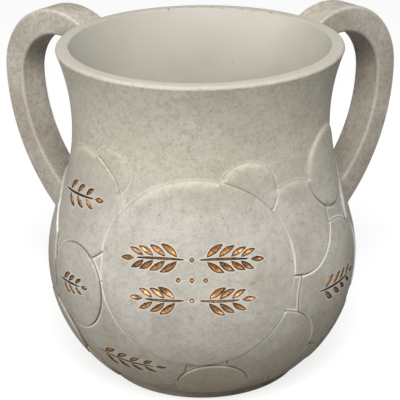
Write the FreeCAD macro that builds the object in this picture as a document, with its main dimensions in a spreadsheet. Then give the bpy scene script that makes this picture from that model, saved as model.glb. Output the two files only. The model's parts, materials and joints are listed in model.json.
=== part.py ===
import FreeCAD, Part
import math
import os

import Sketcher

# Two-handled hand-washing cup, cast in stone-look resin.
# Millimetres, +Z up, the cup stands on Z = 0 with its centre line on the Z axis.
# The front of the cup faces -Y, the handles sweep back from the sides.

Vector = FreeCAD.Vector
doc = FreeCAD.newDocument("WashingCup")

# Driving dimensions. Lengths are in millimetres, turns and tilts in degrees.
SIZES = {
    # Outer side line of the cup
    "cup_height": 135.9,
    "waist_height": 105.6,
    "waist_radius": 51.0,
    "neck_arc_radius": 84.7,
    "belly_height": 47.0,
    "belly_radius": 62.0,
    "belly_arc_radius": 56.9,
    "foot_top_height": 4.8,
    "foot_radius": 40.8,
    "foot_rounding": 0.8,
    "rim_rounding": 1.2,
    "rim_inner_rounding": 0.5,
    # Inside of the casting and its lining
    "wall_thickness": 4.6,
    "lining_thickness": 0.6,
    "lining_drop": 0.6,
    "floor_height": 8.0,
    "floor_rounding": 9.0,
    "mouth_overrun": 2.0,
    # Pad under the foot
    "pad_thickness": 1.5,
    "pad_recess_depth": 1.0,
    "pad_recess_radius": 36.0,
    "pad_clearance": 0.3,
    "pad_rounding": 0.4,
    # Relief discs
    "relief_step": 0.22,
    "relief_root_depth": 1.5,
    "relief_low_height": 6.4,
    "relief_high_height": 112.7,
    # Strap handles
    "handle_back_turn": 38.0,
    "crown_reach": 71.5,
    "crown_height": 108.7,
    "crown_radius": 30.1,
    "crown_root_turn": 120.0,
    "drop_radius": 81.9,
    "finger_radius": 21.7,
    "finger_root_turn": 130.0,
    "finger_drop_radius": 60.8,
    "strap_side_thickness": 10.2,
    "strap_top_thickness": 10.6,
    "strap_width": 14.5,
    "strap_rounding": 1.2,
    "heel_depth": 5.0,
}

# Relief discs, a pattern of overlapping rounds over the belly. Each line has the turn of the disc
# from the front of the cup, towards +X, and the tilt of its centre line, both in degrees, the
# height where that centre line leaves the cup's axis as a share of the cup's height, the disc's
# radius as a share of the belly's, and how many relief steps the disc stands out.
DISC_SHARES = {
    "front_main": (-2.1, 13.0, 0.367, 0.582, 5),
    "front_high": (19.4, 10.6, 0.609, 0.191, 4),
    "front_foot": (3.9, -35.7, 0.371, 0.218, 4),
    "right_shoulder": (40.5, 16.3, 0.436, 0.295, 3),
    "right_neck": (68.4, 8.9, 0.617, 0.267, 4),
    "right_belly": (60.0, -1.5, 0.353, 0.413, 2),
    "right_low": (26.7, -19.0, 0.358, 0.295, 3),
    "right_foot": (45.4, -36.6, 0.375, 0.206, 2),
    "right_side": (114.3, 13.8, 0.327, 0.626, 5),
    "right_side_low": (80.2, -27.8, 0.309, 0.276, 4),
    "left_high": (-41.0, 5.2, 0.685, 0.148, 2),
    "left_shoulder": (-57.3, 17.0, 0.475, 0.359, 3),
    "left_belly": (-53.7, 4.5, 0.330, 0.271, 4),
    "left_low": (-30.7, -15.7, 0.358, 0.412, 3),
    "left_foot": (-65.0, -39.2, 0.342, 0.248, 5),
    "left_side": (-105.9, 1.8, 0.322, 0.621, 5),
    "left_side_low": (-72.3, -19.9, 0.330, 0.250, 6),
    "right_back_foot": (115.0, -34.1, 0.370, 0.201, 2),
    "right_back_high": (155.0, 10.7, 0.610, 0.226, 3),
    "right_back_low": (152.0, -22.8, 0.361, 0.282, 3),
    "back_main": (180.0, 17.7, 0.332, 0.528, 4),
    "back_foot": (177.0, -35.3, 0.371, 0.216, 4),
    "left_back_high": (-158.0, 7.8, 0.661, 0.191, 2),
    "left_back_low": (-153.0, -20.7, 0.360, 0.317, 3),
    "left_back_foot": (-107.0, -33.3, 0.371, 0.231, 2),
}
# Where the lower disc of a pair keeps its whole outline, the higher one is cut back to it.
CUT_BACK = {"right_side": "right_belly", "left_side": "left_shoulder"}
RELIEF_LEVELS = max(line[-1] for line in DISC_SHARES.values())


def fill_sheet():
    """The spreadsheet of driving dimensions, one alias in each row."""
    sheet = doc.addObject("Spreadsheet::Sheet", "Sizes")
    values = dict(SIZES)
    for disc, (turn, tilt, aim_share, radius_share, steps) in DISC_SHARES.items():
        values[disc + "_turn"] = turn
        values[disc + "_tilt"] = tilt
        values[disc + "_aim_share"] = aim_share
        values[disc + "_radius_share"] = radius_share
        values[disc + "_steps"] = steps
    for row, (alias, value) in enumerate(values.items(), start=1):
        sheet.set(f"A{row}", alias)
        sheet.set(f"B{row}", str(value))
        sheet.setAlias(f"B{row}", alias)
    doc.recompute()
    return sheet


sheet = fill_sheet()


def sized(text):
    """Spell a formula on the sheet's aliases the way an expression needs it."""
    words = text.split(" ")
    return " ".join("Sizes." + word if word in SIZES else word for word in words)


def measure(text):
    """The present value of such a formula."""
    return float(sheet.evalExpression(sized(text)))


# Sketch helpers

def new_sketch(body, name):
    """A sketch on the body's own XZ plane: across is the radius, up is the height."""
    sketch = body.newObject("Sketcher::SketchObject", name)
    plane = next(f for f in body.Origin.OriginFeatures if f.Role == "XZ_Plane")
    sketch.AttachmentSupport = [(plane, "")]
    sketch.MapMode = "FlatFace"
    return sketch


def dimension(sketch, kind, places, formula):
    """A driving dimension that follows the sheet."""
    index = sketch.addConstraint(Sketcher.Constraint(kind, *places, measure(formula)))
    name = f"size_{index}"
    sketch.renameConstraint(index, name)
    sketch.setExpression("Constraints." + name, sized(formula))


def arc(sketch, centre, radius, first, last):
    """An arc, counter-clockwise from one angle to the other, both in radians."""
    circle = Part.Circle(centre, Vector(0, 0, 1), radius)
    return sketch.addGeometry(Part.ArcOfCircle(circle, first, last), False)


def join(sketch, first, second):
    """Put two curve ends on one point."""
    sketch.addConstraint(Sketcher.Constraint("Coincident", *first, *second))


def end_point(sketch, place):
    return sketch.getPoint(*place)


def run(sketch, start, corners, end):
    """Straight lines from one curve end over the corners to another curve end."""
    stops = [end_point(sketch, start)]
    stops += [Vector(measure(across), measure(up), 0) for across, up in corners]
    stops.append(end_point(sketch, end))
    lines = []
    for here, there in zip(stops, stops[1:]):
        lines.append(sketch.addGeometry(Part.LineSegment(here, there), False))
    join(sketch, start, (lines[0], 1))
    join(sketch, (lines[-1], 2), end)
    for line, following, (across, up) in zip(lines, lines[1:], corners):
        join(sketch, (line, 2), (following, 1))
        if across == "0":
            sketch.addConstraint(Sketcher.Constraint("PointOnObject", line, 2, -2))
        else:
            dimension(sketch, "DistanceX", (-1, 1, line, 2), across)
        dimension(sketch, "DistanceY", (-1, 1, line, 2), up)


def side_line(sketch, inset, low, high):
    """The cup's side: neck arc, straight shoulder and belly arc, all tangent.

    It lies moved in by the inset and runs between two heights. It returns its two ends,
    the low one first."""
    neck_centre = Vector(measure("waist_radius + neck_arc_radius"), measure("waist_height"), 0)
    neck_radius = measure(f"neck_arc_radius + {inset}")
    belly_centre = Vector(measure("belly_radius - belly_arc_radius"), measure("belly_height"), 0)
    belly_radius = measure(f"belly_arc_radius - ( {inset} )")
    between = neck_centre - belly_centre
    slope = math.atan2(between.y, between.x)
    slope -= math.acos((neck_radius + belly_radius) / between.Length)
    square = Vector(math.cos(slope), math.sin(slope), 0)
    lip_angle = math.pi - math.asin((measure(high) - neck_centre.y) / neck_radius)
    foot_angle = math.asin((measure(low) - belly_centre.y) / belly_radius)
    neck = arc(sketch, neck_centre, neck_radius, lip_angle, slope + math.pi)
    belly = arc(sketch, belly_centre, belly_radius, foot_angle, slope)
    shoulder = sketch.addGeometry(
        Part.LineSegment(neck_centre - square * neck_radius, belly_centre + square * belly_radius),
        False,
    )
    dimension(sketch, "DistanceX", (-1, 1, neck, 3), "waist_radius + neck_arc_radius")
    dimension(sketch, "DistanceY", (-1, 1, neck, 3), "waist_height")
    dimension(sketch, "Radius", (neck,), f"neck_arc_radius + {inset}")
    dimension(sketch, "DistanceX", (-1, 1, belly, 3), "belly_radius - belly_arc_radius")
    dimension(sketch, "DistanceY", (-1, 1, belly, 3), "belly_height")
    dimension(sketch, "Radius", (belly,), f"belly_arc_radius - ( {inset} )")
    sketch.addConstraint(Sketcher.Constraint("Tangent", neck, 2, shoulder, 1))
    sketch.addConstraint(Sketcher.Constraint("Tangent", shoulder, 2, belly, 2))
    dimension(sketch, "DistanceY", (-1, 1, neck, 1), high)
    dimension(sketch, "DistanceY", (-1, 1, belly, 1), low)
    return (belly, 1), (neck, 1)


def revolve(body, sketch):
    """A full turn of the sketch about the cup's centre line."""
    revolution = body.newObject("PartDesign::Revolution", "Turned")
    revolution.Profile = sketch
    revolution.ReferenceAxis = (sketch, ["V_Axis"])
    revolution.Angle = 360.0
    doc.recompute()
    return revolution


def rounding(body, base, edges, formula):
    """A fillet on some edges of the base feature."""
    fillet = body.newObject("PartDesign::Fillet", "Rounding")
    fillet.Base = (base, edges)
    fillet.setExpression("Radius", sized(formula))
    doc.recompute()
    return fillet


def level_circles(shape, height, count=1):
    """Names of the widest full circles at a height."""
    found = []
    for index, edge in enumerate(shape.Edges, start=1):
        box = edge.BoundBox
        level = abs(box.ZMin - height) < shape.BoundBox.ZLength * 1e-6
        if level and box.ZLength < shape.BoundBox.ZLength * 1e-6 and edge.isClosed():
            found.append((box.XLength, f"Edge{index}"))
    found.sort(reverse=True)
    return [name for _, name in found[:count]]


# Cup body: the outer form

def cup_outside():
    """The casting as a filled form: side line, foot ring and the recess for the pad."""
    body = doc.addObject("PartDesign::Body", "CupOutside")
    sketch = new_sketch(body, "CupOutline")
    low, high = side_line(sketch, "0", "foot_top_height", "cup_height")
    corners = [
        ("foot_radius", "foot_top_height"),
        ("foot_radius", "pad_thickness - pad_recess_depth"),
        ("pad_recess_radius", "pad_thickness - pad_recess_depth"),
        ("pad_recess_radius", "pad_thickness"),
        ("0", "pad_thickness"),
        ("0", "cup_height"),
    ]
    run(sketch, low, corners, high)
    turned = revolve(body, sketch)
    rim = level_circles(turned.Shape, measure("cup_height"))
    rimmed = rounding(body, turned, rim, "rim_rounding")
    foot = level_circles(rimmed.Shape, measure("pad_thickness - pad_recess_depth"))
    rounding(body, rimmed, foot, "foot_rounding")
    return body


# Cup body: the overlapping discs in low relief

def relief_skin(steps):
    """The skin that a disc of so many steps fills, rooted a little way inside the wall."""
    body = doc.addObject("PartDesign::Body", f"ReliefSkin{steps}")
    sketch = new_sketch(body, f"ReliefOutline{steps}")
    proud = f"relief_step * {-steps}"
    outer_low, outer_high = side_line(sketch, proud, "relief_low_height", "relief_high_height")
    inner_low, inner_high = side_line(
        sketch, "relief_root_depth", "relief_low_height", "relief_high_height"
    )
    run(sketch, outer_low, [], inner_low)
    run(sketch, inner_high, [], outer_high)
    revolve(body, sketch)
    return body


def disc_cutter(disc):
    """A round bar from the cup's centre line out through the side, where the disc lies."""
    bar = doc.addObject("Part::Cylinder", "Round_" + disc)
    bar.setExpression("Radius", f"Sizes.belly_radius * Sizes.{disc}_radius_share")
    bar.setExpression("Height", "Sizes.belly_radius * 2")
    bar.setExpression(
        "Placement",
        f"placement(vector(0; 0; Sizes.cup_height * Sizes.{disc}_aim_share); "
        f"rotation(Sizes.{disc}_turn - 90; 90 - Sizes.{disc}_tilt; 0))",
    )
    return bar


def relief_disc(disc, bars, skins):
    """One disc: the part of its skin inside its round bar."""
    steps = DISC_SHARES[disc][-1]
    plate = doc.addObject("Part::MultiCommon", "Disc_" + disc)
    plate.Shapes = [skins[steps], bars[disc]]
    if disc in CUT_BACK:
        trimmed = doc.addObject("Part::Cut", "Trimmed_" + disc)
        trimmed.Base = plate
        trimmed.Tool = bars[CUT_BACK[disc]]
        plate = trimmed
    return plate


def cup_form(outside):
    """The filled form with all its discs."""
    skins = {steps: relief_skin(steps) for steps in range(2, RELIEF_LEVELS + 1)}
    bars = {disc: disc_cutter(disc) for disc in DISC_SHARES}
    plates = [relief_disc(disc, bars, skins) for disc in DISC_SHARES]
    form = doc.addObject("Part::MultiFuse", "CupForm")
    form.Shapes = [outside, *plates]
    doc.recompute()
    return form


# Cup body and lining: the hollow

def hollow(name, inset, low, high, corner):
    """The room inside the cup at some inset from the outer side line."""
    body = doc.addObject("PartDesign::Body", name)
    sketch = new_sketch(body, name + "Outline")
    low_end, high_end = side_line(sketch, inset, low, high)
    run(sketch, low_end, [("0", low), ("0", high)], high_end)
    turned = revolve(body, sketch)
    rounding(body, turned, level_circles(turned.Shape, measure(low)), corner)
    return body


def cast_body(form, lined, room):
    """The casting: the form less the lining's seat and the mouth, its inner rim rounded."""
    seat_cut = doc.addObject("Part::Cut", "SeatCut")
    seat_cut.Base = form
    seat_cut.Tool = lined
    mouth_cut = doc.addObject("Part::Cut", "MouthCut")
    mouth_cut.Base = seat_cut
    mouth_cut.Tool = room
    doc.recompute()
    rounded = doc.addObject("Part::Fillet", "CupBody")
    rounded.Base = mouth_cut
    rim = level_circles(mouth_cut.Shape, measure("cup_height"), count=2)
    inner_rim = int(rim[-1].removeprefix("Edge"))
    radius = measure("rim_inner_rounding")
    rounded.Edges = [(inner_rim, radius, radius)]
    rounded.Label = "cup_body"
    return rounded


def inner_lining(lined, room):
    """The smooth liner, a shell between its seat and the room of the cup."""
    shell = doc.addObject("Part::Cut", "InnerLining")
    shell.Base = lined
    shell.Tool = room
    shell.Label = "inner_lining"
    return shell


# Strap handles

def strap_side(sketch, reach, height, crown_radius, drop_radius, root_turn):
    """One long side of a handle's outline: over the crown and down the drop, all tangent.

    The crown arc turns from level to its root turn and runs out straight into the neck. The drop
    arc runs down into the belly. It returns its two ends, the root first."""
    crown = Vector(measure(reach), measure(height), 0)
    radius = measure(crown_radius)
    lean = math.radians(measure(root_turn))
    drop = Vector(crown.x + radius - measure(drop_radius), crown.y, 0)
    root = measure("waist_radius")
    heel = measure("belly_radius - heel_depth")
    over = arc(sketch, crown, radius, 0, lean)
    down_turn = math.acos((heel - drop.x) / measure(drop_radius))
    down = arc(sketch, drop, measure(drop_radius), -down_turn, 0)
    top = end_point(sketch, (over, 2))
    inside = Vector(root, top.y + (top.x - root) / math.tan(lean), 0)
    straight = sketch.addGeometry(Part.LineSegment(top, inside), False)
    dimension(sketch, "DistanceX", (-1, 1, over, 3), reach)
    dimension(sketch, "DistanceY", (-1, 1, over, 3), height)
    dimension(sketch, "Radius", (over,), crown_radius)
    dimension(sketch, "DistanceX", (-1, 1, down, 3), f"{reach} + {crown_radius} - {drop_radius}")
    dimension(sketch, "DistanceY", (-1, 1, down, 3), height)
    dimension(sketch, "Radius", (down,), drop_radius)
    sketch.addConstraint(Sketcher.Constraint("Horizontal", over, 3, over, 1))
    sketch.addConstraint(Sketcher.Constraint("Horizontal", down, 3, down, 2))
    sketch.addConstraint(Sketcher.Constraint("Tangent", over, 2, straight, 1))
    run_out = f"{reach} + {crown_radius} * cos( {root_turn} * 1 deg )"
    dimension(sketch, "DistanceX", (-1, 1, over, 2), run_out)
    dimension(sketch, "DistanceX", (-1, 1, straight, 2), "waist_radius")
    dimension(sketch, "DistanceX", (-1, 1, down, 1), "belly_radius - heel_depth")
    return (straight, 2), (down, 1)


def strap_outline(sketch):
    """Side view of a handle, between its outer side and the side round the fingers.

    Both ends are lines buried in the cup's wall, where the seat is cut."""
    outer = strap_side(
        sketch, "crown_reach", "crown_height", "crown_radius", "drop_radius", "crown_root_turn"
    )
    inner = strap_side(
        sketch,
        "crown_reach + crown_radius - strap_side_thickness - finger_radius",
        "crown_height + crown_radius - strap_top_thickness - finger_radius",
        "finger_radius",
        "finger_drop_radius",
        "finger_root_turn",
    )
    for outer_end, inner_end in zip(outer, inner):
        run(sketch, outer_end, [], inner_end)


def strap(name, turn):
    """A handle's strap, at a turn about the cup's centre line."""
    body = doc.addObject("PartDesign::Body", name)
    sketch = new_sketch(body, name + "Outline")
    strap_outline(sketch)
    pad = body.newObject("PartDesign::Pad", "Width")
    pad.Profile = sketch
    pad.Midplane = True
    pad.setExpression("Length", sized("strap_width"))
    doc.recompute()
    side = measure("strap_width") / 2
    long_edges = []
    for index, edge in enumerate(pad.Shape.Edges, start=1):
        on_side = edge.BoundBox.YLength < side and abs(abs(edge.BoundBox.Center.y) - side) < side / 1e3
        if on_side and not isinstance(edge.Curve, Part.Line):
            long_edges.append(f"Edge{index}")
    rounding(body, pad, long_edges, "strap_rounding")
    body.setExpression("Placement", f"placement(vector(0; 0; 0); rotation({sized(turn)}; 0; 0))")
    return body


def handle(label, turn, form):
    """A strap cut to its two seats on the cup."""
    seated = doc.addObject("Part::Cut", label.title().replace("_", ""))
    seated.Base = strap(label.title().replace("_", "") + "Strap", turn)
    seated.Tool = form
    seated.Label = label
    return seated


# Pad under the foot

def base_pad():
    """A soft disc in the recess, standing a little proud of the foot."""
    body = doc.addObject("PartDesign::Body", "BasePad")
    sketch = body.newObject("Sketcher::SketchObject", "PadOutline")
    plane = next(f for f in body.Origin.OriginFeatures if f.Role == "XY_Plane")
    sketch.AttachmentSupport = [(plane, "")]
    sketch.MapMode = "FlatFace"
    radius = measure("pad_recess_radius - pad_clearance")
    round_edge = sketch.addGeometry(Part.Circle(Vector(0, 0, 0), Vector(0, 0, 1), radius), False)
    join(sketch, (round_edge, 3), (-1, 1))
    dimension(sketch, "Radius", (round_edge,), "pad_recess_radius - pad_clearance")
    pad = body.newObject("PartDesign::Pad", "Thickness")
    pad.Profile = sketch
    pad.setExpression("Length", sized("pad_thickness"))
    doc.recompute()
    rounding(body, pad, level_circles(pad.Shape, 0), "pad_rounding")
    body.Label = "base_pad"
    return body


# Assembly

form = cup_form(cup_outside())
lined_top = "cup_height - lining_drop"
lined = hollow("LinedRoom", "wall_thickness", "floor_height", lined_top, "floor_rounding")
room = hollow(
    "Room",
    "wall_thickness + lining_thickness",
    "floor_height + lining_thickness",
    "cup_height + mouth_overrun",
    "floor_rounding - lining_thickness",
)
parts = [
    cast_body(form, lined, room),
    inner_lining(lined, room),
    handle("right_handle", "handle_back_turn", form),
    handle("left_handle", "180 - handle_back_turn", form),
    base_pad(),
]
doc.recompute()

for item in doc.Objects:
    if "Invalid" in item.State or "Error" in item.State:
        raise RuntimeError(f"{item.Name} did not build: {item.State}")
for part in parts:
    if part.Shape.isNull() or not part.Shape.isValid() or len(part.Shape.Solids) != 1:
        raise RuntimeError(f"{part.Label} is not one sound solid")

os.makedirs("parts", exist_ok=True)
for part in parts:
    part.Shape.exportStep(f"parts/{part.Label}.step")
    print(part.Label, "volume", round(part.Shape.Volume), "mm3")
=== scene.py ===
import json
import math

import bmesh
import bpy
import numpy as np
from mathutils import Matrix, Vector
from mathutils.geometry import delaunay_2d_cdt
from mathutils.kdtree import KDTree

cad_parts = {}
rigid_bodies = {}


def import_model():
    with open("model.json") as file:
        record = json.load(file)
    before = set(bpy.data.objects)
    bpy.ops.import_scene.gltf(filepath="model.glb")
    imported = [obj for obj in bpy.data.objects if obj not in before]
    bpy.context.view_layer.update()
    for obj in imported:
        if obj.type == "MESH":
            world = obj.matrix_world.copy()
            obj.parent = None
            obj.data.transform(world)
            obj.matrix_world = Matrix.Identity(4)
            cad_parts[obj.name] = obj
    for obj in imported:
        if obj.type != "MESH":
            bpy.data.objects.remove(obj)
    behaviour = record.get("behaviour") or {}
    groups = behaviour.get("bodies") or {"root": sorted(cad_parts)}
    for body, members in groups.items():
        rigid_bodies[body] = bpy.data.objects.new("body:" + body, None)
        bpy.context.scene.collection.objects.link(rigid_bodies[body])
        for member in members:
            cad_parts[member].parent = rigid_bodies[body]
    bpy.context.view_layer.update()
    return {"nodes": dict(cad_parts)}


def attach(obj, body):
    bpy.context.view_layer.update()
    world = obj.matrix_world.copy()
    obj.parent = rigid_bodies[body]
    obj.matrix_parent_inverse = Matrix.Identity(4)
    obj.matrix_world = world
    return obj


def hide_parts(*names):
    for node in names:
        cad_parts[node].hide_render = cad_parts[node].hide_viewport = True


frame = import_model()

MM = 0.001

# Cup body, its side line
# The cup is one casting in stone-look polyester resin, poured in a rubber mould. Its side is a
# flared neck, a short straight shoulder and a round belly, which run into each other.

CUP_HEIGHT = 135.9 * MM
WAIST_HEIGHT = 105.6 * MM
WAIST_RADIUS = 51.0 * MM
NECK_ARC = 84.7 * MM
BELLY_HEIGHT = 47.0 * MM
BELLY_RADIUS = 62.0 * MM
BELLY_ARC = 56.9 * MM
RAY_HALVINGS = 36

neck_centre = Vector((WAIST_RADIUS + NECK_ARC, WAIST_HEIGHT))
belly_centre = Vector((BELLY_RADIUS - BELLY_ARC, BELLY_HEIGHT))
between = neck_centre - belly_centre
shoulder_lean = math.atan2(between.y, between.x)
shoulder_lean -= math.acos((NECK_ARC + BELLY_ARC) / between.length)
lip_lean = math.asin((CUP_HEIGHT - WAIST_HEIGHT) / NECK_ARC)
neck_run = NECK_ARC * (lip_lean + shoulder_lean)
shoulder_run = math.sqrt(between.length_squared - (NECK_ARC + BELLY_ARC) ** 2)
neck_foot = neck_centre.y - NECK_ARC * math.sin(shoulder_lean)
belly_top = belly_centre.y + BELLY_ARC * math.sin(shoulder_lean)


def side_line(run):
    """Radius, height and lean of the side at a run down from the rim.

    The lean is the upward turn of the side's outward direction."""
    on_belly = run > neck_run + shoulder_run
    lean = np.minimum(run / NECK_ARC - lip_lean, shoulder_lean)
    lean = np.where(on_belly, shoulder_lean - (run - neck_run - shoulder_run) / BELLY_ARC, lean)
    down = np.clip(run - neck_run, 0, shoulder_run)
    radius = neck_centre.x - NECK_ARC * np.cos(lean) + down * math.sin(shoulder_lean)
    height = neck_centre.y - NECK_ARC * np.sin(lean) - down * math.cos(shoulder_lean)
    radius = np.where(on_belly, belly_centre.x + BELLY_ARC * np.cos(lean), radius)
    height = np.where(on_belly, belly_centre.y + BELLY_ARC * np.sin(lean), height)
    return radius, height, lean


def side_run(height):
    """The run down the side line at which it has some height."""
    neck_lean = np.arcsin(np.clip((neck_centre.y - height) / NECK_ARC, -1, 1))
    on_neck = NECK_ARC * (lip_lean + neck_lean)
    on_shoulder = neck_run + (neck_foot - height) / math.cos(shoulder_lean)
    belly_lean = np.arcsin(np.clip((height - belly_centre.y) / BELLY_ARC, -1, 1))
    on_belly = neck_run + shoulder_run + (shoulder_lean - belly_lean) * BELLY_ARC
    below_neck = np.where(height > belly_top, on_shoulder, on_belly)
    return np.where(height > neck_foot, on_neck, below_neck)


def wall_point(turn, run, proud=0.0):
    """Points and outward directions on the side, at turns from the front towards +X."""
    radius, height, lean = side_line(run)
    aside = np.cos(lean)
    outward = np.stack((aside * np.sin(turn), -aside * np.cos(turn), np.sin(lean)), -1)
    points = np.stack((radius * np.sin(turn), -radius * np.cos(turn), height), -1)
    return points + outward * np.asarray(proud)[..., None], outward


def seen_on_wall(starts, direction):
    """Turns and runs at which level rays from inside the cup come out through its side."""
    near = np.zeros(len(starts))
    far = np.full(len(starts), 2 * BELLY_RADIUS)
    for _ in range(RAY_HALVINGS):
        middle = (near + far) / 2
        points = starts + middle[:, None] * direction
        run = side_run(np.clip(points[:, 2], 0, CUP_HEIGHT))
        inside = np.hypot(points[:, 0], points[:, 1]) < side_line(run)[0]
        near = np.where(inside, middle, near)
        far = np.where(inside, far, middle)
    return np.arctan2(points[:, 0], -points[:, 1]), run


# Cup body, its relief
# Overlapping discs stand a little out of the belly. Two discs meet in a shallow groove, steep on
# the higher one's side. On the bare wall a disc has a shoulder, which widens towards the neck.

RELIEF_STEP = 0.22 * MM
RELIEF_HIGH = 112.7 * MM
RELIEF_LOW = 6.4 * MM
GROOVE_DEPTH = 0.6 * MM
STEEP_WIDTH = 0.45 * MM
SHOULDER_WIDTH = 0.8 * MM
BARE_SHOULDER_WIDTH = 2.2 * MM
WIDENING_FOOT = 66 * MM
WIDENING_RUN = 20 * MM
EASE_POWER = 1.3
LEAST_WALL_SHARE = 0.05
ON_EDGE = 0.02 * MM
# Each line has a disc's turn and tilt in degrees, its aim as a share of the cup's height, its
# radius as a share of the belly's, and its steps.
DISC_SHARES = {
    "front_main": (-2.1, 13.0, 0.367, 0.582, 5),
    "front_high": (19.4, 10.6, 0.609, 0.191, 4),
    "front_foot": (3.9, -35.7, 0.371, 0.218, 4),
    "right_shoulder": (40.5, 16.3, 0.436, 0.295, 3),
    "right_neck": (68.4, 8.9, 0.617, 0.267, 4),
    "right_belly": (60.0, -1.5, 0.353, 0.413, 2),
    "right_low": (26.7, -19.0, 0.358, 0.295, 3),
    "right_foot": (45.4, -36.6, 0.375, 0.206, 2),
    "right_side": (114.3, 13.8, 0.327, 0.626, 5),
    "right_side_low": (80.2, -27.8, 0.309, 0.276, 4),
    "left_high": (-41.0, 5.2, 0.685, 0.148, 2),
    "left_shoulder": (-57.3, 17.0, 0.475, 0.359, 3),
    "left_belly": (-53.7, 4.5, 0.330, 0.271, 4),
    "left_low": (-30.7, -15.7, 0.358, 0.412, 3),
    "left_foot": (-65.0, -39.2, 0.342, 0.248, 5),
    "left_side": (-105.9, 1.8, 0.322, 0.621, 5),
    "left_side_low": (-72.3, -19.9, 0.330, 0.250, 6),
    "right_back_foot": (115.0, -34.1, 0.370, 0.201, 2),
    "right_back_high": (155.0, 10.7, 0.610, 0.226, 3),
    "right_back_low": (152.0, -22.8, 0.361, 0.282, 3),
    "back_main": (180.0, 17.7, 0.332, 0.528, 4),
    "back_foot": (177.0, -35.3, 0.371, 0.216, 4),
    "left_back_high": (-158.0, 7.8, 0.661, 0.191, 2),
    "left_back_low": (-153.0, -20.7, 0.360, 0.317, 3),
    "left_back_foot": (-107.0, -33.3, 0.371, 0.231, 2),
}
# Where the lower disc of a pair keeps its whole outline, the higher one is cut back to it.
CUT_BACK = {"right_side": "right_belly", "left_side": "left_shoulder"}


class Disc:
    """A relief disc: the part of the side inside a round bar from the cup's axis."""

    def __init__(self, turn, tilt, aim_share, radius_share, steps):
        turn, tilt = math.radians(turn), math.radians(tilt)
        self.turn = turn
        self.aim = np.array((0, 0, aim_share * CUP_HEIGHT))
        aside = math.cos(tilt)
        self.axis = np.array((math.sin(turn) * aside, -math.cos(turn) * aside, math.sin(tilt)))
        self.right = np.array((math.cos(turn), math.sin(turn), 0))
        self.up = np.cross(self.axis, self.right)
        self.radius = radius_share * BELLY_RADIUS
        self.level = steps * RELIEF_STEP

    def spread(self, points, outward):
        """How far points lie from the disc's centre line, the share of that along the wall, and how
        far out along the line they lie."""
        from_aim = points - self.aim
        along = from_aim @ self.axis
        across = from_aim - along[:, None] * self.axis
        distance = np.linalg.norm(across, axis=1)
        slant = np.einsum("ij,ij->i", across, outward) / np.maximum(distance, MM)
        return distance, np.sqrt(np.maximum(1 - slant ** 2, LEAST_WALL_SHARE)), along

    def inset(self, points, outward):
        """How far inside the disc's edge points of the wall lie, measured along the wall."""
        distance, share, along = self.spread(points, outward)
        return np.where(along > 0, (self.radius - distance) / share, -BELLY_RADIUS)

    def on_wall(self, across, up):
        """Turns, without a jump at the back, and runs of places in the disc's own flat picture."""
        starts = self.aim + across[:, None] * self.right + up[:, None] * self.up
        turn, run = seen_on_wall(starts, self.axis)
        return self.turn + (turn - self.turn + math.pi) % (2 * math.pi) - math.pi, run


discs = {name: Disc(*shares) for name, shares in DISC_SHARES.items()}
names = list(discs)
levels = np.array([disc.level for disc in discs.values()])[:, None]
cut_back = [(names.index(higher), names.index(whole)) for higher, whole in CUT_BACK.items()]
lies_over = levels > levels.T
for higher, whole in cut_back:
    lies_over[higher, whole] = False
    lies_over[whole, higher] = True


def insets(turn, run):
    """Each disc's inset at places on the wall, and which discs reach them."""
    points, outward = wall_point(turn, run)
    inset = np.stack([disc.inset(points, outward) for disc in discs.values()])
    held = inset > 0
    for higher, whole in cut_back:
        held[higher] &= ~held[whole]
    return inset, held


def ease(share):
    """A slope from 0 to 1 with a rounded top."""
    share = np.clip(share, 0, 1)
    return np.sin(share * math.pi / 2) ** EASE_POWER


def soft_ease(share):
    """A slope from 0 to 1 that is rounded at both ends."""
    share = np.clip(share, 0, 1)
    return share ** 2 * (3 - 2 * share)


def relief(turn, run):
    """How far the wall stands out at places on it, and how far they are from the edge of their own
    disc and from the nearest edge of a disc beside them."""
    inset, held = insets(turn, run)
    places = np.arange(len(turn))
    reached = held * levels
    top = reached.argmax(0)
    level = reached[top, places]
    reached[top, places] = 0
    for higher, whole in cut_back:
        hidden = (top == whole) & (inset[higher] > 0)
        reached[higher] = np.where(hidden, levels[higher], reached[higher])
    under = reached.max(0)
    low = np.minimum(level, under) - GROOVE_DEPTH
    own = inset[top, places]
    grooved = low + (level - low) * ease(own / STEEP_WIDTH)
    high = soft_ease((side_run(WIDENING_FOOT) - run) / WIDENING_RUN)
    bare_width = SHOULDER_WIDTH + high * (BARE_SHOULDER_WIDTH - SHOULDER_WIDTH)
    proud = np.where(under > 0, grooved, level * soft_ease(own / bare_width))
    proud = np.where(level > 0, proud, 0)
    own = np.where(level > 0, own, BELLY_RADIUS)
    beside = np.full(len(turn), BELLY_RADIUS)
    for index in range(len(names)):
        over = lies_over[index, top] | (level == 0)
        over &= inset[index] <= 0
        for higher, whole in cut_back:
            if index == higher:
                over &= ~held[whole]
        beside = np.where(over, np.minimum(beside, -inset[index]), beside)
        low = np.minimum(level, levels[index]) - GROOVE_DEPTH
        side = low + (level - low) * ease(-inset[index] / SHOULDER_WIDTH)
        proud = np.where(over & (level > 0), np.minimum(proud, side), proud)
    on_edge = np.minimum(own, beside) < ON_EDGE
    own[on_edge] = beside[on_edge] = 0
    foot_fade = ease((side_run(RELIEF_LOW) - run) / SHOULDER_WIDTH)
    return proud * foot_fade, own, beside


# Cup body, its engraving
# Leafy sprigs are cut into the discs with a V-tool before the mould is taken, and gilded by hand.
# Each cut has a spine in the disc's flat picture, with half a width at each of its points.

LEAF_LENGTH = 7.6 * MM
LEAF_WIDTH = 2.5 * MM
STEM_WIDTH = 1.0 * MM
BERRY_SIZE = 1.9 * MM
CUT_SLOPE = 1.0
CUT_LIP = 0.45 * MM
CUT_STATION = 0.7 * MM
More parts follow.
